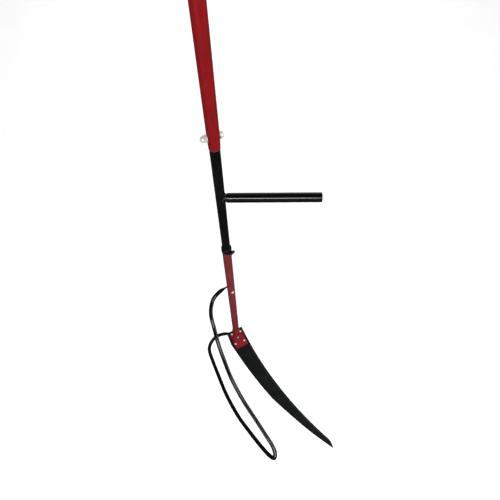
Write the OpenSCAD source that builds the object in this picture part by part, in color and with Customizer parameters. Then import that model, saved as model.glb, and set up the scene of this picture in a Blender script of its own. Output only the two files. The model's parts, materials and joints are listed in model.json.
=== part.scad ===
// Long-handled harvesting scythe with a side grip and a bow guard.
// +Z runs up the pole, +X along the side grip, -Y is the side of the person mowing.
// The origin is on the pole's axis, in the underside of the blade. Millimetres.

/* [Pole] */
// Height of the handle's top end above the blade's underside
pole_top = 1520; // [1400:5:1600]
// Outside diameter of the handle and of the lower tube
outer_tube_d = 25.4; // [25:0.1:28]
// Wall of the handle and of the lower tube
outer_wall = 1.6; // [1.4:0.1:1.7]
// Wall of the black shaft tube
shaft_wall = 1.6; // [1.2:0.1:2.5]
// Height of the handle's tapered mouth
handle_mouth_z = 1072; // [1050:2:1076]
// How far the handle's mouth tapers
handle_taper_h = 24; // [12:1:30]
// Height of the bolt that joins handle and shaft
handle_bolt_z = 1102; // [1095:1:1130]
// Turn of that bolt about the pole, from the side grip
handle_bolt_turn = 21; // [0:1:45]
// How far the shaft reaches into the handle
shaft_in_handle = 120; // [90:5:150]
// Height of the shaft's lower end, inside the lower tube
shaft_bottom_z = 532; // [510:2:560]

/* [Side grip] */
// Height of the side grip's axis
grip_z = 912; // [860:2:940]
// Reach of the side grip from the pole's axis
grip_reach = 230; // [180:5:260]
// Outside diameter of the grip's sleeve
grip_d = 22.6; // [22:0.1:26]
// Diameter of the steel core under the sleeve
grip_core_d = 19; // [16:1:20]

/* [Length clamp] */
// Height of the lower tube's mouth
mouth_z = 686; // [670:2:710]
// Height of the clamp collar
collar_h = 14; // [12:1:24]
// Wall of the clamp collar
collar_wall = 1.4; // [1.2:0.1:2.5]
// Length of the slit below the lower tube's mouth
slit_l = 66; // [40:2:80]
// Width of that slit
slit_w = 3; // [2:0.5:4]
// Distance of the clamp screw from the pole's axis
clamp_screw_x = 19.5; // [19.5:0.5:22]
// Turn of the clamp's ears about the pole, from the side grip
clamp_turn = -40; // [-60:5:0]

/* [Blade] */
// Blade thickness
blade_t = 2.5; // [2:0.5:4]
// Turn of the blade's chord from the side grip
blade_turn = -51; // [-60:1:-40]
// Radius of the hollow cutting edge
edge_r = 1330; // [1250:10:1400]
// Width of the ground bevel
bevel_w = 8; // [5:1:12]
// Thickness left at the cutting edge
edge_t = 0.5; // [0.3:0.1:1]

/* [Mounting plate] */
// Plate thickness
plate_t = 4; // [3:0.5:6]
// Plate length
plate_l = 73; // [70:1:80]
// Plate width
plate_w = 52; // [50:1:54]
// Turn of the plate from the side grip
plate_turn = -62.5; // [-66:0.5:-60]
// Rivet spacing along the plate
rivet_dx = 42; // [40:1:44]
// Rivet spacing across the plate
rivet_dy = 38; // [38:1:40]
// Rivet shank diameter
rivet_d = 5; // [4:0.5:5]

/* [Guard] */
// Guard rod diameter
rod_d = 13.5; // [12:0.5:14]
// Height of the bolt that holds the guard's upper end
guard_bolt_z = 415; // [410:1:420]
// Turn of that bolt's head from the side grip
guard_bolt_turn = -66; // [-75:1:-55]

/* [Hidden] */
$fn = 64;
outer_r = outer_tube_d / 2;
bore_r = outer_r - outer_wall;
// The shaft runs in the lower tube with 0.1 mm to spare all round
shaft_r = bore_r - 0.1;
plate_z = blade_t;
foot_z = blade_t + plate_t;
shaft_top_z = handle_mouth_z + shaft_in_handle;
cap_h = 3;
mouth_inset = 0.9;

// Welds: how far the fillets stand out, and the height of the foot weld
weld_leg = 1.6;
weld_h = 3;
grip_weld_leg = 5.6;
grip_weld_l = 10.5;

// Handle bolt, M8
bolt8_r = 4;
bolt8_hole_r = 4.2;
bolt8_head_r = 7.5;
bolt8_head_h = 6.5;
washer8_r = 8;
washer8_t = 1.6;
hex8_r = 13 / 2 / cos(30);
cap_nut_hex_h = 5.5;
cap_nut_dome_r = 6.2;
cap_nut_h = 12;
bolt8_in_nut = 7;

// Guard bolt, M5
guard_shank_r = 2.5;
guard_hole_r = 2.7;
guard_head_r = 4.5;
guard_head_h = 3;
guard_washer_r = 5;
guard_washer_t = 1;
guard_nut_h = 4.5;
guard_nut_bore_r = 2.5;
shank_past_nut = 2;

// Clamp screw, M5
bolt5_r = 2.5;
bolt5_hole_r = 2.75;
hex5_r = 8 / 2 / cos(30);
head5_h = 3.5;
nut5_h = 4;
nut5_bore_r = 2.55;
washer5_r = 4.5;
washer5_t = 1;
ear_gap = 3;
ear_t = 3;
ear_h = 10;
ear_end = 4;
collar_r = outer_r + 0.1;
collar_z = mouth_z - collar_h;
clamp_screw_z = collar_z + ear_h / 2;
ear_face_y = ear_gap / 2 + ear_t;
lip_gap = 0.3;
lip_t = 1.4;

// Plate and rivets, seen from above
plate_centre = [11, -35.5];
plate_corner_r = 3;
tongue_r = 15.5;
rivet_turn = -67;
rivet_centre = [9, -31.5];
rivet_head_r = 4.1;
rivet_head_h = 2.4;
sink_r = 4.2;
sink_h = 1.4;
centre_head_r = 2.9;
centre_head_h = 1.6;

// Guard ends: flat eyes, and the narrow neck before the upper one
eye_t = 3.5;
eye_r = 7;
eye_low_t = 3;
eye_low_r = 5.8;
neck = [-26, 6, 403];
neck_r = 4;

// Blade outline in the blade's own frame: +X along the chord, +Y to the cutting edge
heel_left = [-14, -37];
heel_right = [2, 30];
heel_corner_r = 5;
back_points = [[35, -52], [115, -58], [195, -61], [270, -60], [315, -56.5], [400, -42], [482, -25],
    [553, -5]];
tip = [571, 0.5];
tip_curve = [[565, 3.2], [557, 6.6], [548, 9.2], [538, 10.6]];
edge_start = [60, 21];
edge_centre = [315, edge_r - 9];
bevel_start_x = 84;

// Guard rod route, from the eye behind the pole, down round the bow and back to the plate
guard_route = [[-46, -5, 390], [-60, -20, 380], [-67, -38, 370], [-69, -60, 360], [-66, -80, 350],
    [-58, -106, 334], [-47, -144, 314], [-29, -190, 286], [-2, -250, 248], [37, -314, 214],
    [82, -375, 180], [112, -416, 158], [132, -444, 146], [142, -466, 138], [140, -482, 132],
    [126, -476, 126], [100, -450, 118], [58, -400, 108], [16, -345, 94], [-28, -270, 80],
    [-64, -190, 64], [-88, -134, 54], [-100, -102, 46], [-102, -80, 40], [-95, -56, 32], [-80, -34, 22],
    [-60, -22, 16], [-38, -18, 14]];
rod_steps = 2;
rod_sides = 12;

// Functions

function unit(v) = v / norm(v);

// Points of an arc of radius r that rounds corner b between a and c
function round_corner(a, b, c, r, n = 6) =
    let (u = unit(a - b), v = unit(c - b), half = acos(u * v) / 2,
         centre = b + unit(u + v) * (r / sin(half)),
         s = b + u * (r / tan(half)) - centre, e = b + v * (r / tan(half)) - centre,
         a0 = atan2(s.y, s.x), turn = (atan2(e.y, e.x) - a0 + 540) % 360 - 180)
    [for (i = [0:n]) centre + r * [cos(a0 + turn * i / n), sin(a0 + turn * i / n)]];

// One point of the smooth curve that passes through p1 and p2
function curve_point(p0, p1, p2, p3, t) =
    0.5 * (2 * p1 + (p2 - p0) * t + (2 * p0 - 5 * p1 + 4 * p2 - p3) * t * t
        + (3 * p1 - p0 - 3 * p2 + p3) * t * t * t);

// Smooth curve through every point, with the given number of steps between two points
function smooth(p, steps) =
    let (last = len(p) - 1)
    concat([for (i = [0:last - 1], k = [0:steps - 1])
        curve_point(p[max(i - 1, 0)], p[i], p[i + 1], p[min(i + 2, last)], k / steps)], [p[last]]);

// Tangents along a curve
function tangents(c) =
    let (last = len(c) - 1)
    [for (i = [0:last]) unit(c[min(i + 1, last)] - c[max(i - 1, 0)])];

// Side vectors carried along a curve without twist
function side_vectors(t, i = 0, side = [0, 0, 1]) =
    i == len(t) ? [] :
    let (s = unit(side - (side * t[i]) * t[i]))
    concat([s], side_vectors(t, i + 1, s));

// Helpers

module tube(r, wall, z0, z1) {
    translate([0, 0, z0]) difference() {
        cylinder(r = r, h = z1 - z0);
        translate([0, 0, -1]) cylinder(r = r - wall, h = z1 - z0 + 2);
    }
}

// Turns the child's +Z to a level direction at the given angle about the pole
module level(turn, z) {
    translate([0, 0, z]) rotate([0, 0, turn]) rotate([0, 90, 0]) children();
}

module washer(r, hole_r, t) {
    difference() {
        cylinder(r = r, h = t);
        translate([0, 0, -1]) cylinder(r = hole_r, h = t + 2);
    }
}

module hex_nut(hex_r, bore, h) {
    difference() {
        intersection() {
            cylinder(r = hex_r, h = h, $fn = 6);
            cylinder(r1 = hex_r * 0.93 + h, r2 = hex_r * 0.93, h = h);
        }
        translate([0, 0, -1]) cylinder(r = bore, h = h + 2);
    }
}

// Domed head: a spherical cap of radius r and height h standing on z = 0
module dome(r, h) {
    ball_r = (r * r + h * h) / 2 / h;
    intersection() {
        translate([0, 0, h - ball_r]) sphere(r = ball_r);
        cylinder(r = r + 1, h = h + 1);
    }
}

module swept_rod(points, r, sides) {
    c = smooth(points, rod_steps);
    t = tangents(c);
    s = side_vectors(t);
    rings = len(c);
    ring_points = [for (i = [0:rings - 1], k = [0:sides - 1])
        c[i] + r * (cos(360 * k / sides) * s[i] + sin(360 * k / sides) * cross(t[i], s[i]))];
    walls = [for (i = [0:rings - 2], k = [0:sides - 1], half = [0, 1])
        let (a = i * sides + k, b = i * sides + (k + 1) % sides)
        half == 0 ? [a, b + sides, b] : [a, a + sides, b + sides]];
    caps = [[for (k = [0:sides - 1]) k], [for (k = [sides - 1:-1:0]) (rings - 1) * sides + k]];
    polyhedron(points = ring_points, faces = concat(walls, caps));
}

// Places children at each of the plate's four corner rivets that is listed
module at_rivets(list) {
    corners = [[-1, -1], [-1, 1], [1, 1], [1, -1]];
    translate(rivet_centre) rotate([0, 0, rivet_turn])
        for (i = list)
            translate([corners[i].x * rivet_dx / 2, corners[i].y * rivet_dy / 2, 0]) children();
}

// Handle

module handle_tube() {
    color("firebrick") difference() {
        rotate_extrude() polygon([[bore_r, handle_mouth_z], [outer_r - mouth_inset, handle_mouth_z],
            [outer_r, handle_mouth_z + handle_taper_h], [outer_r, pole_top - cap_h],
            [bore_r, pole_top - cap_h]]);
        level(handle_bolt_turn, handle_bolt_z)
            translate([0, 0, -outer_r - 1]) cylinder(r = bolt8_hole_r, h = 2 * outer_r + 2);
    }
}

module handle_end_plug() {
    stem_l = 24;
    stem_r = bore_r - 0.7;
    stem_wall = 2;
    rib_r = bore_r - 0.05;
    rib_h = 2;
    rib_pitch = 6;
    color("dimgray") {
        translate([0, 0, pole_top - cap_h - stem_l]) difference() {
            union() {
                cylinder(r = stem_r, h = stem_l + 0.5);
                for (i = [0:2])
                    translate([0, 0, rib_pitch / 2 + i * rib_pitch])
                        cylinder(r1 = stem_r, r2 = rib_r, h = rib_h);
            }
            translate([0, 0, -1]) cylinder(r = stem_r - stem_wall, h = stem_l);
        }
        translate([0, 0, pole_top - cap_h]) rotate_extrude()
            polygon([[0, 0], [outer_r, 0], [outer_r, 1.2], [outer_r - 0.6, 2.2], [outer_r - 2, 2.8],
                [0, cap_h]]);
    }
}

module handle_bolt() {
    seat = outer_r + washer8_t;
    color("silver") level(handle_bolt_turn, handle_bolt_z) {
        translate([0, 0, seat]) dome(bolt8_head_r, bolt8_head_h);
        translate([0, 0, -seat - bolt8_in_nut]) cylinder(r = bolt8_r, h = 2 * seat + bolt8_in_nut);
    }
}

module handle_bolt_washers() {
    color("silver") level(handle_bolt_turn, handle_bolt_z)
        for (side = [0, 1]) mirror([0, 0, side])
            translate([0, 0, outer_r]) washer(washer8_r, bolt8_hole_r, washer8_t);
}

module handle_cap_nut() {
    color("gainsboro") level(handle_bolt_turn + 180, handle_bolt_z)
        translate([0, 0, outer_r + washer8_t]) difference() {
            union() {
                intersection() {
                    cylinder(r = hex8_r, h = cap_nut_hex_h, $fn = 6);
                    cylinder(r1 = hex8_r + 6, r2 = hex8_r * 0.93, h = cap_nut_hex_h);
                }
                cylinder(r = cap_nut_dome_r, h = cap_nut_h - cap_nut_dome_r);
                translate([0, 0, cap_nut_h - cap_nut_dome_r]) sphere(r = cap_nut_dome_r);
            }
            translate([0, 0, -1]) cylinder(r = bolt8_r, h = bolt8_in_nut + 2);
        }
}

// Shaft and side grip

module shaft_tube() {
    color("black") difference() {
        tube(shaft_r, shaft_wall, shaft_bottom_z, shaft_top_z);
        level(handle_bolt_turn, handle_bolt_z)
            translate([0, 0, -shaft_r - 1]) cylinder(r = bolt8_hole_r, h = 2 * shaft_r + 2);
    }
}

module side_grip_core() {
    color("black") difference() {
        level(0, grip_z) translate([0, 0, 4]) cylinder(r = grip_core_d / 2, h = grip_reach - 10);
        level(0, grip_z) translate([0, 0, 3]) cylinder(r = grip_core_d / 2 - 1.5, h = grip_reach);
        translate([0, 0, grip_z - 20]) cylinder(r = shaft_r, h = 40);
    }
}

module side_grip_sleeve() {
    sleeve_x = 15;
    round_r = 2;
    end_r = grip_d / 2;
    core_r = grip_core_d / 2;
    core_end = grip_reach - 6;
    corner = [end_r - round_r, grip_reach - round_r];
    color("black") level(0, grip_z) rotate_extrude()
        polygon(concat([[core_r, sleeve_x], [end_r - 0.6, sleeve_x], [end_r, sleeve_x + 0.6]],
            [for (a = [0:15:90]) corner + round_r * [cos(a), sin(a)]],
            [[0, grip_reach], [0, core_end], [core_r, core_end]]));
}

module side_grip_weld() {
    core_r = grip_core_d / 2;
    color("black") difference() {
        level(0, grip_z) translate([0, 0, 4])
            cylinder(r1 = core_r + grip_weld_leg, r2 = core_r + 0.4, h = grip_weld_l);
        level(0, grip_z) cylinder(r = core_r, h = 30);
        translate([0, 0, grip_z - 20]) cylinder(r = shaft_r, h = 40);
    }
}

// Length clamp

// Moves children to the clamp screw's middle, with +Y along the screw to its nut
module at_clamp_screw() {
    rotate([0, 0, clamp_turn]) translate([clamp_screw_x, 0, clamp_screw_z]) children();
}

// One of the collar's two ears, on the +Y side of the gap
module clamp_ear() {
    translate([0, ear_gap / 2, clamp_screw_z]) {
        translate([collar_r, 0, -ear_h / 2]) cube([clamp_screw_x - collar_r, ear_t, ear_h]);
        translate([clamp_screw_x, 0, ear_end - ear_h / 2])
            cube([ear_end, ear_t, ear_h - 2 * ear_end]);
        for (end = [-1, 1])
            translate([clamp_screw_x, 0, end * (ear_h / 2 - ear_end)]) rotate([-90, 0, 0])
                cylinder(r = ear_end, h = ear_t);
    }
}

module clamp_collar() {
    outside = collar_r + collar_wall;
    top = collar_h + lip_gap + lip_t;
    color("black") rotate([0, 0, clamp_turn]) difference() {
        union() {
            translate([0, 0, collar_z]) cylinder(r = outside, h = top - 0.5);
            translate([0, 0, collar_z + top - 0.5])
                cylinder(r1 = outside, r2 = outside - 0.5, h = 0.5);
            clamp_ear();
            mirror([0, 1, 0]) clamp_ear();
        }
        translate([0, 0, collar_z - 1]) cylinder(r = collar_r, h = collar_h + lip_gap + 1);
        translate([0, 0, collar_z]) cylinder(r = shaft_r + lip_gap, h = top + 1);
        translate([0, -ear_gap / 2, collar_z - 1]) cube([outside + 1, ear_gap, top + 2]);
        translate([clamp_screw_x, 20, clamp_screw_z]) rotate([90, 0, 0])
            cylinder(r = bolt5_hole_r, h = 40);
    }
}

module clamp_screw() {
    shank_end = ear_face_y + nut5_h + shank_past_nut;
    color("gray") at_clamp_screw() rotate([90, 0, 0]) {
        translate([0, 0, -shank_end]) cylinder(r = bolt5_r, h = shank_end + ear_face_y + washer5_t + 1);
        translate([0, 0, ear_face_y + washer5_t + 0.3]) intersection() {
            cylinder(r = hex5_r, h = head5_h, $fn = 6);
            cylinder(r1 = hex5_r + head5_h, r2 = hex5_r * 0.93, h = head5_h);
        }
    }
}

module clamp_washer() {
    color("gray") at_clamp_screw() translate([0, -ear_face_y, 0]) rotate([90, 0, 0])
        washer(washer5_r, bolt5_hole_r, washer5_t);
}

module clamp_nut() {
    color("gray") at_clamp_screw() translate([0, ear_face_y, 0]) rotate([-90, 0, 0])
        hex_nut(hex5_r, nut5_bore_r, nut5_h);
}

// Head

module lower_tube() {
    slit_turn = 188;
    color("brown") difference() {
        tube(outer_r, outer_wall, foot_z, mouth_z);
        rotate([0, 0, slit_turn])
            translate([0, -slit_w / 2, mouth_z - slit_l]) cube([outer_r + 1, slit_w, slit_l + 1]);
        level(guard_bolt_turn, guard_bolt_z)
            translate([0, 0, -outer_r - 1]) cylinder(r = guard_hole_r, h = 2 * outer_r + 2);
    }
}

module foot_weld() {
    color("brown") translate([0, 0, foot_z]) difference() {
        cylinder(r1 = outer_r + weld_leg, r2 = outer_r + 0.3, h = weld_h);
        translate([0, 0, -1]) cylinder(r = outer_r, h = weld_h + 2);
    }
}

module mounting_plate() {
    hx = plate_l / 2;
    hy = plate_w / 2;
    outline = [[-hx, -hy], [hx, -hy], [hx, hy], [-hx, hy]];
    color("crimson") difference() {
        translate([0, 0, plate_z]) union() {
            linear_extrude(plate_t) translate(plate_centre) rotate([0, 0, plate_turn])
                polygon([for (i = [0:3]) each round_corner(outline[(i + 3) % 4], outline[i],
                    outline[(i + 1) % 4], plate_corner_r)]);
            cylinder(r = tongue_r, h = plate_t);
        }
        at_rivets([0:3]) cylinder(r = rivet_d / 2, h = foot_z + 1);
        translate(rivet_centre) cylinder(r = rivet_d / 2, h = foot_z + 1);
    }
}

// Outline without the hollow edge, which a large circle cuts
module blade_outline() {
    polygon(concat(
        round_corner(heel_right, heel_left, back_points[0], heel_corner_r),
        smooth(back_points, 4),
        [tip],
        tip_curve,
        round_corner(edge_start, heel_right, heel_left, heel_corner_r)));
}

module blade() {
    slope = (blade_t - edge_t) / bevel_w;
    reach = bevel_w + 4;
    first = asin((bevel_start_x - edge_centre.x) / edge_r) - 90;
    last = asin((tip.x + 20 - edge_centre.x) / edge_r) - 90;
    color("darkslategray") difference() {
        rotate([0, 0, blade_turn]) difference() {
            linear_extrude(blade_t) blade_outline();
            translate([edge_centre.x, edge_centre.y, -1]) cylinder(r = edge_r, h = blade_t + 2, $fn = 720);
            translate(edge_centre) rotate([0, 0, first]) rotate_extrude(angle = last - first, $fn = 720)
                polygon([[edge_r - 4, edge_t - 4 * slope], [edge_r + reach, edge_t + reach * slope],
                    [edge_r - 4, edge_t + reach * slope]]);
        }
        at_rivets([0:3]) rivet_seat();
        translate(rivet_centre) rivet_seat();
    }
}

// Hole and countersink that a rivet fills under the blade
module rivet_seat() {
    cylinder(r = rivet_d / 2, h = foot_z);
    cylinder(r1 = sink_r, r2 = rivet_d / 2, h = sink_h);
    translate([0, 0, -1]) cylinder(r = sink_r, h = 1);
}

// Rivet with a flush foot, a shank up to z = grip and a domed head on top
module rivet(grip, head_r, head_h) {
    cylinder(r = rivet_d / 2, h = grip + 0.5);
    cylinder(r1 = sink_r, r2 = rivet_d / 2, h = sink_h);
    translate([0, 0, grip]) dome(head_r, head_h);
}

module blade_rivets() {
    color("silver") at_rivets([1:3]) rivet(foot_z, rivet_head_r, rivet_head_h);
}

module centre_rivet() {
    color("silver") translate(rivet_centre) rivet(foot_z, centre_head_r, centre_head_h);
}

// Guard

module guard_foot_rivet() {
    color("silver") at_rivets([0]) rivet(foot_z + eye_low_t, rivet_head_r, rivet_head_h);
}

module guard_eye_upper() {
    level(guard_bolt_turn + 180, guard_bolt_z)
        translate([0, 0, outer_r]) cylinder(r = eye_r, h = eye_t);
}

module guard_eye_lower() {
    at_rivets([0]) translate([0, 0, foot_z]) cylinder(r = eye_low_r, h = eye_low_t);
}

// Flat disc halfway between the rod's upper end and its eye
module guard_neck() {
    translate(neck) rotate([0, 0, guard_bolt_turn + 180]) rotate([0, 90, 0])
        cylinder(r = neck_r, h = eye_t, center = true);
}

// Rod end that runs into an eye, turned to the way the rod leaves
module guard_rod_end(from, to) {
    d = unit(to - from);
    translate(from) rotate([0, acos(d.z), atan2(d.y, d.x)]) cylinder(r = rod_d / 2, h = 2, $fn = 32);
}

module guard_rod() {
    last = len(guard_route) - 1;
    color("black") difference() {
        union() {
            swept_rod(guard_route, rod_d / 2, rod_sides);
            hull() {
                guard_rod_end(guard_route[0], guard_route[1]);
                guard_neck($fn = 32);
            }
            hull() {
                guard_neck($fn = 32);
                guard_eye_upper($fn = 32);
            }
            hull() {
                guard_rod_end(guard_route[last], guard_route[last - 1]);
                guard_eye_lower($fn = 32);
            }
        }
        level(guard_bolt_turn + 180, guard_bolt_z) {
            cylinder(r = guard_hole_r, h = 40);
            translate([0, 0, outer_r + eye_t]) cylinder(r = hex5_r + 0.8, h = 30);
        }
        at_rivets([0]) {
            cylinder(r = rivet_d / 2, h = 40);
            translate([0, 0, foot_z + eye_low_t]) cylinder(r = rivet_head_r + 0.5, h = 30);
        }
    }
}

module guard_bolt() {
    shank_end = outer_r + eye_t + guard_nut_h + shank_past_nut;
    color("silver") level(guard_bolt_turn, guard_bolt_z) {
        translate([0, 0, outer_r + guard_washer_t]) dome(guard_head_r, guard_head_h);
        translate([0, 0, -shank_end]) cylinder(r = guard_shank_r, h = shank_end + outer_r + guard_washer_t + 0.5);
    }
}

module guard_bolt_washer() {
    color("silver") level(guard_bolt_turn, guard_bolt_z)
        translate([0, 0, outer_r]) washer(guard_washer_r, guard_hole_r, guard_washer_t);
}

module guard_nut() {
    color("silver") level(guard_bolt_turn + 180, guard_bolt_z)
        translate([0, 0, outer_r + eye_t]) hex_nut(hex5_r, guard_nut_bore_r, guard_nut_h);
}

handle_tube();
handle_end_plug();
shaft_tube();
side_grip_core();
side_grip_sleeve();
side_grip_weld();
handle_bolt();
handle_bolt_washers();
handle_cap_nut();
clamp_collar();
clamp_screw();
clamp_washer();
clamp_nut();
lower_tube();
foot_weld();
mounting_plate();
blade();
blade_rivets();
centre_rivet();
guard_foot_rivet();
guard_rod();
guard_bolt();
guard_bolt_washer();
guard_nut();
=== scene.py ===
"""A long-handled harvesting scythe: red handle, black shaft with a side grip, dark blade, bow guard.

Metres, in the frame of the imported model: +Z up the pole, +X along the side grip.
"""
import json
import math

import bmesh
import bpy
from mathutils import Matrix, Vector


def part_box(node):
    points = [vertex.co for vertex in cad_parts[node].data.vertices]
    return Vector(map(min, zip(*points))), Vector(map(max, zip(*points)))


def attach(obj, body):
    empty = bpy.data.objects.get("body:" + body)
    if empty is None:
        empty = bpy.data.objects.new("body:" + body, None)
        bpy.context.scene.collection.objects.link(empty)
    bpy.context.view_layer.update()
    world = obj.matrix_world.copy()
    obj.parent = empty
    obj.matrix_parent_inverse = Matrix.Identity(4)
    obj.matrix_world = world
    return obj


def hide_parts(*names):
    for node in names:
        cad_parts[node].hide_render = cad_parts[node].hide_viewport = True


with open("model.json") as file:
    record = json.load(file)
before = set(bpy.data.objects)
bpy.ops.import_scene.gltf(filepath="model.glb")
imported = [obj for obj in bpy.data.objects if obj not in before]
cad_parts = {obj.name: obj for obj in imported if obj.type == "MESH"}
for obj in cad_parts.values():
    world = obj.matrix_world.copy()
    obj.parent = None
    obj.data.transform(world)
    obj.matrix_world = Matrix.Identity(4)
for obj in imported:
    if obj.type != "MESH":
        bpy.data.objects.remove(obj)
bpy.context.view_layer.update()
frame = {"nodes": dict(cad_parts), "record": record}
nodes = frame["nodes"]


# ---------------------------------------------------------------- node helpers

EVEN = (1, 1, 1)
LONG_Z = (1, 1, 0.05)
LONG_X = (0.05, 1, 1)
MIX_COLOUR_INPUTS = (0, 6, 7)       # a Mix node's sockets for factor and two colours
MIX_COLOUR_OUTPUT = 2


class Shader:
    """A new material and short ways to add and join its nodes."""

    def __init__(self, name):
        self.mat = bpy.data.materials.new(name)
        self.mat.use_nodes = True
        self.tree = self.mat.node_tree
        self.bsdf = self.tree.nodes["Principled BSDF"]
        self.place = self.add("ShaderNodeTexCoord").outputs["Object"]

    def add(self, kind, **values):
        node = self.tree.nodes.new(kind)
        for key, value in values.items():
            setattr(node, key, value)
        return node

    def join(self, output, socket):
        self.tree.links.new(output, socket)

    def noise(self, scale, detail=3.0, rough=0.5, squash=EVEN):
        """Cloudy noise. A small number in squash stretches it along that axis."""
        stretch = self.add("ShaderNodeMapping")
        stretch.inputs["Scale"].default_value = squash
        self.join(self.place, stretch.inputs["Vector"])
        node = self.add("ShaderNodeTexNoise")
        node.inputs["Scale"].default_value = scale
        node.inputs["Detail"].default_value = detail
        node.inputs["Roughness"].default_value = rough
        self.join(stretch.outputs["Vector"], node.inputs["Vector"])
        return node.outputs["Fac"]

    def ramp(self, value, *stops):
        """Colours between stops, each a (value, colour)."""
        node = self.add("ShaderNodeValToRGB")
        ramp = node.color_ramp
        while len(ramp.elements) < len(stops):
            ramp.elements.new(0.5)
        for element, (at, colour) in zip(ramp.elements, stops):
            element.position = at
            element.color = (*colour, 1)
        self.join(value, node.inputs["Fac"])
        return node.outputs["Color"]

    def grey(self, value, low, high, start=0.0, end=1.0):
        """Takes start..end to low..high, and stops at both."""
        node = self.add("ShaderNodeMapRange")
        node.inputs["From Min"].default_value = start
        node.inputs["From Max"].default_value = end
        node.inputs["To Min"].default_value = low
        node.inputs["To Max"].default_value = high
        self.join(value, node.inputs["Value"])
        return node.outputs["Result"]

    def mix(self, factor, a, b):
        node = self.add("ShaderNodeMix", data_type="RGBA")
        for at, value in zip(MIX_COLOUR_INPUTS, (factor, a, b)):
            self._set(node.inputs[at], value)
        return node.outputs[MIX_COLOUR_OUTPUT]

    def math(self, operation, a, b=0.0):
        node = self.add("ShaderNodeMath", operation=operation)
        self._set(node.inputs[0], a)
        self._set(node.inputs[1], b)
        return node.outputs[0]

    def _set(self, socket, value):
        if isinstance(value, bpy.types.NodeSocket):
            self.join(value, socket)
        elif isinstance(value, tuple) and len(value) == 3:
            socket.default_value = (*value, 1)
        else:
            socket.default_value = value

    def axis(self, vector, letter):
        split = self.add("ShaderNodeSeparateXYZ")
        self.join(vector, split.inputs[0])
        return split.outputs[letter]

    def height(self):
        return self.axis(self.place, "Z")

    def distance(self, point):
        """Distance from a point, in metres."""
        node = self.add("ShaderNodeVectorMath", operation="DISTANCE")
        self.join(self.place, node.inputs[0])
        node.inputs[1].default_value = point
        return node.outputs["Value"]

    def slope(self):
        """How far the face looks up: 1 on top, 0 on a side, -1 underneath."""
        return self.axis(self.add("ShaderNodeNewGeometry").outputs["True Normal"], "Z")

    def cells(self, scale):
        """Distance to the nearest of scattered points, for specks."""
        node = self.add("ShaderNodeTexVoronoi")
        node.inputs["Scale"].default_value = scale
        self.join(self.place, node.inputs["Vector"])
        return node.outputs["Distance"]

    def bump(self, *layers):
        """Layers are (height output, strength, depth in metres), laid one over the other."""
        normal = None
        for value, strength, depth in layers:
            node = self.add("ShaderNodeBump")
            node.inputs["Strength"].default_value = strength
            node.inputs["Distance"].default_value = depth
            self.join(value, node.inputs["Height"])
            if normal is not None:
                self.join(normal, node.inputs["Normal"])
            normal = node.outputs["Normal"]
        self.join(normal, self.bsdf.inputs["Normal"])

    def set(self, **values):
        """Sets the shader's own inputs, and returns the material."""
        for key, value in values.items():
            self._set(self.bsdf.inputs[key.replace("_", " ")], value)
        return self.mat


def least(shader, values):
    smallest = values[0]
    for value in values[1:]:
        smallest = shader.math("MINIMUM", smallest, value)
    return smallest


def wear_near(shader, heights, reach):
    """Ragged mask that is 1 at the given heights and fades out within reach."""
    z = shader.height()
    nearest = least(shader, [shader.math("ABSOLUTE", shader.math("SUBTRACT", z, at)) for at in heights])
    close = shader.grey(nearest, 1, 0, 0, reach)
    ragged = shader.grey(shader.noise(240, 4, 0.65), -0.55, 0.45, 0.3, 0.7)
    return shader.grey(shader.math("ADD", close, ragged), 0, 1, 0.62, 0.8)


# ---------------------------------------------------------------- materials

BARE_STEEL = (0.11, 0.1, 0.095)
WORN_METALLIC = 0.8                 # bare steel under a thin film of paint and oil
PAINT_WEAR = 0.006                  # how far from a rubbing edge the wear reaches
ENAMEL_WEAR = 0.004
RIVET_RING = (0.0052, 0.0082)       # from a rivet's middle: paint all gone, paint whole
RUB_MARK = (0.016, 0.017, 0.016)
SCRATCHED_COAT = (0.013, 0.018, 0.016)
GROUND_EDGE = (0.018, 0.023, 0.021)
CHORD_TURN = 51                     # degrees from +X to the blade's chord


def paint(name, tones, roughness, specular, worn_at=(), streak=LONG_Z, streak_tone=0.3, around=()):
    """Sprayed paint: cloudy tone, orange peel, scuffs, and bare metal at worn heights and around rivets."""
    dark, middle, pale = tones
    s = Shader(name)
    base = s.ramp(s.noise(11, 4, 0.6), (0.3, dark), (0.5, middle), (0.72, pale))
    scuffs = s.grey(s.noise(260, 4, 0.6, streak), 0, 1, 0.58, 0.72)
    base = s.mix(s.math("MULTIPLY", scuffs, streak_tone), base, pale)
    specks = s.grey(s.cells(420), 1, 0, 0.05, 0.16)
    few = s.grey(s.noise(70, 2, 0.5), 0, 1, 0.58, 0.66)
    chips = s.math("MULTIPLY", specks, few)
    base = s.mix(s.math("MULTIPLY", chips, 0.5), base, dark)
    rough = s.grey(s.noise(55, 4, 0.6), roughness - 0.07, roughness + 0.1, 0.3, 0.72)
    rough = s.math("ADD", rough, s.math("MULTIPLY", scuffs, 0.12))
    worn = None
    if worn_at:
        worn = wear_near(s, worn_at, PAINT_WEAR)
    if around:
        ring = s.grey(least(s, [s.distance(point) for point in around]), 1, 0, *RIVET_RING)
        ragged = s.grey(s.noise(520, 4, 0.65), -0.5, 0.5, 0.3, 0.7)
        rubbed = s.grey(s.math("ADD", ring, ragged), 0, 1, 0.5, 0.8)
        worn = rubbed if worn is None else s.math("MAXIMUM", worn, rubbed)
    if worn is not None:
        base = s.mix(worn, base, BARE_STEEL)
        s.set(Metallic=s.math("MULTIPLY", worn, WORN_METALLIC))
    s.bump((s.noise(900, 2, 0.5), 0.3, 0.00012), (s.noise(170, 2, 0.5), 0.25, 0.0003),
           (s.math("ADD", chips, scuffs), 0.2, 0.0001))
    return s.set(Base_Color=base, Roughness=rough, Specular_IOR_Level=specular)


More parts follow.
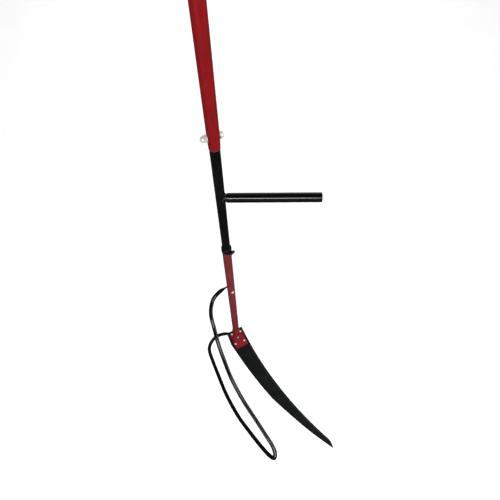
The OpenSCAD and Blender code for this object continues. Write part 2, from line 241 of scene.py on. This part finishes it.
def black_paint(name, tones, roughness, specular, worn_at=(), streak=LONG_Z):
    """Black enamel with faint rub marks along the piece, worn through at the given heights."""
    s = Shader(name)
    base = s.ramp(s.noise(16, 4, 0.6), (0.35, tones[0]), (0.75, tones[1]))
    marks = s.grey(s.noise(300, 5, 0.62, streak), 0, 1, 0.6, 0.74)
    base = s.mix(s.math("MULTIPLY", marks, 0.35), base, RUB_MARK)
    rough = s.grey(s.noise(40, 5, 0.65), roughness - 0.04, roughness + 0.12, 0.35, 0.8)
    rough = s.math("ADD", rough, s.math("MULTIPLY", marks, 0.15))
    if worn_at:
        worn = wear_near(s, worn_at, ENAMEL_WEAR)
        base = s.mix(worn, base, BARE_STEEL)
        s.set(Metallic=s.math("MULTIPLY", worn, WORN_METALLIC))
    s.bump((s.noise(700, 2, 0.5), 0.18, 0.0001), (s.noise(90, 2, 0.5), 0.05, 0.0003),
           (marks, 0.15, 0.00008))
    return s.set(Base_Color=base, Roughness=rough, Specular_IOR_Level=specular)


def vinyl(name):
    """Glossy dipped sleeve: soft waves, fine dust nibs and dull patches where hands hold it."""
    s = Shader(name)
    base = s.ramp(s.noise(24, 4, 0.6), (0.35, (0.0012, 0.0012, 0.0013)), (0.75, (0.003, 0.003, 0.0034)))
    held = s.grey(s.noise(14, 3, 0.5, (0.4, 1, 1)), 0, 0.06, 0.45, 0.7)
    rough = s.math("ADD", s.grey(s.noise(80, 4, 0.65, (0.3, 1, 1)), 0.1, 0.17, 0.35, 0.8), held)
    s.bump((s.grey(s.cells(600), 1, 0, 0.02, 0.08), 0.12, 0.0001),
           (s.noise(60, 2, 0.5, (0.25, 1, 1)), 0.2, 0.0004))
    return s.set(Base_Color=base, Roughness=rough, Specular_IOR_Level=0.25)


def moulded(name):
    """Matt plastic with a spark-eroded mould's fine grain."""
    s = Shader(name)
    base = s.ramp(s.noise(40, 3, 0.5), (0.3, (0.012, 0.012, 0.012)), (0.7, (0.026, 0.026, 0.026)))
    s.bump((s.noise(2200, 2, 0.5), 0.5, 0.0002),)
    return s.set(Base_Color=base, Roughness=s.grey(s.noise(150), 0.5, 0.7), Specular_IOR_Level=0.25)


def plated(name, bright, dull, roughness, metal):
    """Plated steel: spangled tone, fine dents and dull spots."""
    s = Shader(name)
    base = s.ramp(s.noise(260, 4, 0.6), (0.3, dull), (0.6, bright))
    rough = s.grey(s.noise(420, 3, 0.6), roughness - 0.06, roughness + 0.16, 0.3, 0.7)
    s.bump((s.noise(1200, 2, 0.5), 0.2, 0.0001), (s.grey(s.cells(500), 1, 0, 0.04, 0.12), 0.12, 0.0001))
    return s.set(Base_Color=base, Roughness=rough, Metallic=metal)


def blade_coat(name):
    """Dark rust-proof coat over rolled steel, scratched along the chord, with a ground bevel."""
    s = Shader(name)
    turn = s.add("ShaderNodeMapping")
    turn.inputs["Rotation"].default_value = (0, 0, math.radians(CHORD_TURN))
    s.join(s.place, turn.inputs["Vector"])
    s.place = turn.outputs["Vector"]
    base = s.ramp(s.noise(13, 5, 0.62), (0.3, (0.0016, 0.0032, 0.0027)), (0.55, (0.0024, 0.0045, 0.004)),
                  (0.8, (0.0045, 0.007, 0.006)))
    lines = s.grey(s.noise(240, 4, 0.6, LONG_X), 0, 1, 0.6, 0.72)
    base = s.mix(s.math("MULTIPLY", lines, 0.4), base, SCRATCHED_COAT)
    ground = s.grey(s.math("ABSOLUTE", s.slope()), 1, 0, 0.972, 0.99)
    cuts = s.grey(s.noise(900, 3, 0.6, (1, 0.06, 1)), 0, 1, 0.35, 0.7)
    base = s.mix(s.math("MULTIPLY", ground, s.grey(cuts, 0.1, 0.45)), base, GROUND_EDGE)
    rough = s.grey(s.noise(38, 4, 0.6), 0.4, 0.58, 0.3, 0.75)
    s.bump((lines, 0.2, 0.0001), (s.noise(620, 3, 0.6), 0.3, 0.00015),
           (s.math("MULTIPLY", ground, cuts), 0.3, 0.00012))
    return s.set(Base_Color=base, Roughness=rough, Specular_IOR_Level=0.24)


def middle(node):
    low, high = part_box(node)
    return (low + high) / 2


def islands(node, gap):
    """Middles of a node's separate solids, which stand more than the gap apart."""
    groups = []
    for v in nodes[node].data.vertices:
        for group in groups:
            if (v.co - group[0]).length < gap:
                group.append(v.co)
                break
        else:
            groups.append([v.co])
    return [Vector([(min(c[i] for c in g) + max(c[i] for c in g)) / 2 for i in range(3)]) for g in groups]


def tube_radius(node):
    """Radius of an upright round piece."""
    low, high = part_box(node)
    return (high.x - low.x) / 2


mouth_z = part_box("lower_tube")[1].z
handle_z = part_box("handle_tube")[0].z
plate_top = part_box("mounting_plate")[1].z
RIVET_APART = 0.012
rivet_points = [(point.x, point.y, plate_top) for node in ("centre_rivet", "guard_foot_rivet", "blade_rivets")
                for point in islands(node, RIVET_APART)]

FINISH = {
    "handle_paint": paint("handle_paint", ((0.122, 0.001, 0.002), (0.148, 0.0012, 0.0026),
                                           (0.17, 0.002, 0.004)), 0.4, 0.12, [handle_z]),
    "head_paint": paint("head_paint", ((0.11, 0.008, 0.011), (0.14, 0.013, 0.016),
                                       (0.175, 0.026, 0.03)), 0.46, 0.34, [mouth_z], streak_tone=0.45),
    "plate_paint": paint("plate_paint", ((0.1, 0.001, 0.003), (0.15, 0.0018, 0.0055),
                                         (0.22, 0.012, 0.02)), 0.34, 0.22, streak=EVEN,
                         around=rivet_points),
    "shaft_paint": black_paint("shaft_paint", ((0.001, 0.0012, 0.0009), (0.0022, 0.0026, 0.002)),
                               0.32, 0.3, [mouth_z + 0.004]),
    "clamp_paint": black_paint("clamp_paint", ((0.0014, 0.0016, 0.0012), (0.0036, 0.0038, 0.003)),
                               0.4, 0.4),
    "guard_paint": black_paint("guard_paint", ((0.0012, 0.0012, 0.0012), (0.0026, 0.0026, 0.0026)),
                               0.07, 0.2, streak=EVEN),
    "grip_vinyl": vinyl("grip_vinyl"),
    "plug_plastic": moulded("plug_plastic"),
    "zinc": plated("zinc", (0.74, 0.69, 0.66), (0.5, 0.45, 0.43), 0.34, 0.5),
    "dark_screw": plated("dark_screw", (0.08, 0.08, 0.08), (0.04, 0.04, 0.04), 0.34, 0.8),
    "blade_coat": blade_coat("blade_coat"),
}

for part in frame["record"]["subparts"]:
    mesh = nodes[part["node"]].data
    mesh.materials.clear()
    mesh.materials.append(FINISH[part["material_slot"]])


# ---------------------------------------------------------------- pieces made here

SHARP_ANGLE = math.radians(50)


def finish_piece(name, bm, body, slot, replaced=()):
    """Turns a bmesh into a smooth object with a finish, which rides on a body."""
    mesh = bpy.data.meshes.new(name)
    bmesh.ops.recalc_face_normals(bm, faces=bm.faces)
    bm.to_mesh(mesh)
    bm.free()
    for face in mesh.polygons:
        face.use_smooth = True
    mesh.set_sharp_from_angle(angle=SHARP_ANGLE)
    mesh.materials.append(FINISH[slot])
    piece = bpy.data.objects.new(name, mesh)
    bpy.context.scene.collection.objects.link(piece)
    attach(piece, body)
    if replaced:
        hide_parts(*replaced)


def skin(rings, loop=False):
    """A closed bmesh over rings of equally many points: capped at both ends, or joined end to end."""
    bm = bmesh.new()
    rows = [[bm.verts.new(point) for point in ring] for ring in rings]
    sides = len(rows[0])
    for low, high in zip(rows, rows[1:] + rows[:1] if loop else rows[1:]):
        for k in range(sides):
            bm.faces.new((low[k], low[(k + 1) % sides], high[(k + 1) % sides], high[k]))
    if not loop:
        bm.faces.new(rows[0])
        bm.faces.new(rows[-1])
    return bm


def curve_through(points, steps):
    """Smooth curve that passes through every point."""
    curve = []
    for i in range(len(points) - 1):
        p0, p1 = points[max(i - 1, 0)], points[i]
        p2, p3 = points[i + 1], points[min(i + 2, len(points) - 1)]
        for k in range(steps):
            t = k / steps
            curve.append(0.5 * (2 * p1 + (p2 - p0) * t + (2 * p0 - 5 * p1 + 4 * p2 - p3) * t ** 2
                                + (3 * p1 - p0 - 3 * p2 + p3) * t ** 3))
    return curve + [points[-1]]


def ease(x):
    """Smooth step from 0 to 1."""
    x = min(max(x, 0.0), 1.0)
    return x * x * (3 - 2 * x)


# The bent rod's route in metres, from the flattened end on the pole round to the one on the plate
GUARD_ROUTE = [Vector(point) / 1000 for point in (
    (-26, 6, 403), (-46, -5, 390), (-60, -20, 380), (-67, -38, 370), (-69, -60, 360), (-66, -80, 350),
    (-58, -106, 334), (-47, -144, 314), (-29, -190, 286), (-2, -250, 248), (37, -314, 214),
    (82, -375, 180), (112, -416, 158), (132, -444, 146), (142, -466, 138), (140, -482, 132),
    (126, -476, 126), (100, -450, 118), (58, -400, 108), (16, -345, 94), (-28, -270, 80),
    (-64, -190, 64), (-88, -134, 54), (-100, -102, 46), (-102, -80, 40), (-95, -56, 32), (-80, -34, 22),
    (-60, -22, 16), (-38, -18, 14))]
ROD_R = 0.00675
ROD_SIDES = 24
ROD_STEPS = 8                       # curve points from one route point to the next
EYE_EDGE = 0.0012                   # half width of an eye at its very end
EYE_A = {"eye_r": 0.007, "eye_t": 0.0035, "neck_r": 0.004, "neck_at": 0.021}
EYE_B = {"eye_r": 0.0058, "eye_t": 0.003, "neck_r": 0.005, "neck_at": 0.012}
SWELL_L = 0.026


def end_section(run, eye_r, eye_t, neck_r, neck_at):
    """Half width, half thickness and roundness (0 flat, 1 round) at a distance from a rod end."""
    if run < eye_r:
        width = max(math.sqrt(max(eye_r ** 2 - (eye_r - run) ** 2, 0)), EYE_EDGE)
    else:
        width = eye_r + (neck_r - eye_r) * ease((run - 1.2 * eye_r) / (neck_at - 1.2 * eye_r))
    swell = ease((run - neck_at) / SWELL_L)
    return width + (ROD_R - width) * swell, eye_t / 2 + (ROD_R - eye_t / 2) * swell, swell


def guard_bolt_line():
    """Where the guard bolt crosses the pole's axis, and its direction towards the nut."""
    bolt_z = middle("guard_bolt_washer").z
    nut = middle("guard_nut")
    return Vector((0, 0, bolt_z)), Vector((nut.x, nut.y, 0)).normalized()


def guard_bar():
    """The bow: one bent rod, hammered flat into an eye at each end."""
    on_axis, out = guard_bolt_line()
    eye_a = on_axis + out * (tube_radius("lower_tube") + EYE_A["eye_t"] / 2)
    foot = middle("guard_foot_rivet")
    eye_b = Vector((foot.x, foot.y, plate_top + EYE_B["eye_t"] / 2))
    up = Vector((0, 0, 1))
    lead_a = GUARD_ROUTE[0] - eye_a
    lead_a = (lead_a - out * lead_a.dot(out)).normalized()
    lead_b = GUARD_ROUTE[-1] - eye_b
    lead_b = (lead_b - up * lead_b.dot(up)).normalized()
    points = ([eye_a - lead_a * EYE_A["eye_r"], eye_a, eye_a + lead_a * 0.009] + GUARD_ROUTE
              + [eye_b + lead_b * 0.008, eye_b, eye_b - lead_b * EYE_B["eye_r"]])
    curve = curve_through(points, ROD_STEPS)
    last = len(curve) - 1
    tangents = [(curve[min(i + 1, last)] - curve[max(i - 1, 0)]).normalized() for i in range(last + 1)]
    run = [0.0]
    for a, b in zip(curve, curve[1:]):
        run.append(run[-1] + (b - a).length)
    total = run[-1]

    def carried(order, direction):
        """Thickness direction carried along the curve from one end, without twist."""
        found = {}
        for i in order:
            direction = (direction - tangents[i] * direction.dot(tangents[i])).normalized()
            found[i] = direction
        return found

    from_a = carried(range(last + 1), out)
    from_b = carried(range(last, -1, -1), up)
    rings = []
    for i, (point, along) in enumerate(zip(curve, tangents)):
        share = ease((run[i] / total - 0.3) / 0.4)
        side = 1 if along.dot(from_a[i].cross(from_b[i])) > 0 else -1
        turn = side * from_a[i].angle(from_b[i]) * share
        thick = Matrix.Rotation(turn, 3, along) @ from_a[i]
        wide = along.cross(thick)
        near_a = run[i] < total / 2
        half_w, half_t, roundness = end_section(run[i] if near_a else total - run[i],
                                                **(EYE_A if near_a else EYE_B))
        power = 0.45 + 0.55 * roundness
        ring = []
        for k in range(ROD_SIDES):
            c, n = math.cos(2 * math.pi * k / ROD_SIDES), math.sin(2 * math.pi * k / ROD_SIDES)
            ring.append(point + wide * half_w * math.copysign(abs(c) ** power, c)
                        + thick * half_t * math.copysign(abs(n) ** power, n))
        rings.append(ring)
    finish_piece("guard_bar", skin(rings), "head", "guard_paint", ["guard_rod"])


BEAD_SIDES = 12
BEAD_STEPS = 240


def bead(name, route, size, ripples, body, slot, node):
    """Weld bead in place of a node: a closed tube along a loop, with overlapping ripples."""
    count = len(route)
    rings = []
    for i, point in enumerate(route):
        along = (route[(i + 1) % count] - route[i - 1]).normalized()
        out = point - sum(route, Vector()) / count
        out = (out - along * out.dot(along)).normalized()
        across = along.cross(out)
        phase = (i / count * ripples) % 1.0
        radius = size * (0.86 + 0.2 * math.sqrt(phase) + 0.05 * math.sin(i * 1.7))
        rings.append([point + out * radius * math.cos(a) + across * radius * math.sin(a)
                      for a in (2 * math.pi * k / BEAD_SIDES for k in range(BEAD_SIDES))])
    finish_piece(name, skin(rings, loop=True), body, slot, [node])


def welds():
    """The beads round the pole's foot and round the side grip's root."""
    turns = [2 * math.pi * i / BEAD_STEPS for i in range(BEAD_STEPS)]
    foot_r = tube_radius("lower_tube") + 0.0003
    foot = [Vector((math.cos(a) * foot_r, math.sin(a) * foot_r, plate_top + 0.0004)) for a in turns]
    bead("foot_weld_bead", foot, 0.0021, 26, "head", "head_paint", "foot_weld")
    core_low, core_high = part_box("side_grip_core")
    core_r = (core_high.z - core_low.z) / 2
    grip_z = (core_high.z + core_low.z) / 2
    shaft_r = tube_radius("shaft_tube")
    loop_r = core_r + 0.0006
    grip = []
    for a in turns:
        y = loop_r * math.cos(a)
        grip.append(Vector((math.sqrt(shaft_r ** 2 - y * y) + 0.0006, y, grip_z + loop_r * math.sin(a))))
    bead("side_grip_weld_bead", grip, 0.0022, 22, "handle", "shaft_paint", "side_grip_weld")


THREAD_R = 0.0025                   # both screws are M5
THREAD_PITCH = 0.0008
THREAD_LENGTH = 0.0019              # as much as stands out of a nut
THREAD_DEPTH = 0.0002
THREAD_SIDES = 32
THREAD_ROWS = 8                     # rings in one turn


def thread(name, node, start, axis, body, slot):
    """Screw thread on the last stretch of a shank, whose end is the node's farthest point."""
    axis = axis.normalized()
    tip = start + axis * max((v.co - start).dot(axis) for v in nodes[node].data.vertices)
    u = axis.orthogonal().normalized()
    v = axis.cross(u)
    rows = int(THREAD_LENGTH / THREAD_PITCH * THREAD_ROWS)
    rings = []
    for j in range(rows + 1):
        z = THREAD_LENGTH * j / rows - THREAD_LENGTH
        ring = []
        for k in range(THREAD_SIDES):
            ridge = 1 - abs(2 * ((z / THREAD_PITCH - k / THREAD_SIDES) % 1.0) - 1)
            chamfer = min(-z / THREAD_PITCH, 1.0)
            r = THREAD_R + 0.00004 + THREAD_DEPTH * ridge * chamfer
            a = 2 * math.pi * k / THREAD_SIDES
            ring.append(tip + axis * (z + 0.00005) + (u * math.cos(a) + v * math.sin(a)) * r)
        rings.append(ring)
    finish_piece(name, skin(rings), body, slot)


def threads():
    """The ends of the guard bolt and the clamp screw, where they stand out of their nuts."""
    thread("guard_bolt_thread", "guard_bolt", *guard_bolt_line(), "head", "zinc")
    turn = next(j for j in frame["record"]["behaviour"]["joints"] if j["name"] == "clamp_screw_turn")
    thread("clamp_screw_thread", "clamp_screw", Vector(turn["pos_m"]), Vector(turn["axis"]),
           "clamp_screw", "dark_screw")


def soften(node, width):
    """Small rounded edges on a plain CAD solid."""
    modifier = nodes[node].modifiers.new("edges", "BEVEL")
    modifier.width = width
    modifier.segments = 2
    modifier.limit_method = "ANGLE"
    modifier.angle_limit = SHARP_ANGLE
    modifier.harden_normals = True


guard_bar()
welds()
threads()
for node, width in (("mounting_plate", 0.0006), ("clamp_collar", 0.0003), ("guard_nut", 0.0002),
                    ("clamp_nut", 0.0002)):
    soften(node, width)


# ---------------------------------------------------------------- stage, light and camera

FLOOR_Z = -0.9
FLOOR_SIZE = 9.0
CAMERA_PLACE = (0.0746, -0.5743, 1.6784)
CAMERA_TURN = (29.744, 0.56, 0)     # degrees
LENS_MM = 30.24
SENSOR_MM = 36


def floor():
    """Plain pale floor, far enough below the blade to hold no dark shadow."""
    bm = bmesh.new()
    bmesh.ops.create_grid(bm, x_segments=8, y_segments=8, size=FLOOR_SIZE / 2)
    mesh = bpy.data.meshes.new("floor")
    bm.to_mesh(mesh)
    bm.free()
    plane = bpy.data.objects.new("floor", mesh)
    plane.location.z = FLOOR_Z
    bpy.context.scene.collection.objects.link(plane)
    s = Shader("floor")
    base = s.ramp(s.noise(3), (0.3, (0.93, 0.93, 0.93)), (0.7, (0.95, 0.95, 0.95)))
    mesh.materials.append(s.set(Base_Color=base, Roughness=0.9, Specular_IOR_Level=0.1))
    plane.visible_glossy = False


def area_light(name, place, target, width, depth, power):
    light = bpy.data.lights.new(name, "AREA")
    light.shape = "RECTANGLE"
    light.size = width
    light.size_y = depth
    light.energy = power
    thing = bpy.data.objects.new(name, light)
    bpy.context.scene.collection.objects.link(thing)
    thing.location = place
    aim = Vector(target) - Vector(place)
    thing.rotation_euler = aim.to_track_quat("-Z", "Y").to_euler()


def sky(light, band, dark):
    """Even white light, and for reflections a pale band at eye height that is dark above and below."""
    world = bpy.data.worlds.new("studio")
    world.use_nodes = True
    tree = world.node_tree
    background = tree.nodes["Background"]
    background.inputs["Color"].default_value = (1, 1, 1, 1)
    coords = tree.nodes.new("ShaderNodeTexCoord")
    split = tree.nodes.new("ShaderNodeSeparateXYZ")
    height = tree.nodes.new("ShaderNodeMath")
    height.operation = "ABSOLUTE"
    fade = tree.nodes.new("ShaderNodeMapRange")
    fade.interpolation_type = "SMOOTHSTEP"
    for name, value in (("From Min", 0.15), ("From Max", 0.55), ("To Min", band), ("To Max", dark)):
        fade.inputs[name].default_value = value
    ray = tree.nodes.new("ShaderNodeLightPath")
    choose = tree.nodes.new("ShaderNodeMix")
    choose.inputs["A"].default_value = light
    tree.links.new(coords.outputs["Generated"], split.inputs[0])
    tree.links.new(split.outputs["Z"], height.inputs[0])
    tree.links.new(height.outputs[0], fade.inputs["Value"])
    tree.links.new(ray.outputs["Is Glossy Ray"], choose.inputs["Factor"])
    tree.links.new(fade.outputs["Result"], choose.inputs["B"])
    tree.links.new(choose.outputs["Result"], background.inputs["Strength"])
    bpy.context.scene.world = world


def studio():
    """Soft light from the front, the back and the right, and a small low lamp for glints on the bow."""
    sky(0.78, 0.5, 0.04)
    area_light("front_soft", (0.1, -1.9, 2.3), (0.1, 0, 0.9), 1.0, 0.3, 42)
    area_light("low_glint", (-0.8, -2.0, 0.45), (0.1, -0.4, 0.17), 0.25, 0.25, 8)
    area_light("back_soft", (0, 4.4, 2.4), (0, 2.6, -0.9), 4.0, 1.6, 50)
    area_light("right_soft", (2.6, -0.5, 1.3), (0, 0, 0.5), 1.2, 1.2, 34)
    bpy.context.scene.view_settings.view_transform = "Standard"


def photo_camera():
    """Looks down the pole from in front of its upper half."""
    data = bpy.data.cameras.new("camera")
    data.lens = LENS_MM
    data.sensor_width = SENSOR_MM
    camera = bpy.data.objects.new("camera", data)
    bpy.context.scene.collection.objects.link(camera)
    camera.location = CAMERA_PLACE
    camera.rotation_euler = [math.radians(angle) for angle in CAMERA_TURN]
    bpy.context.scene.camera = camera


floor()
studio()
photo_camera()
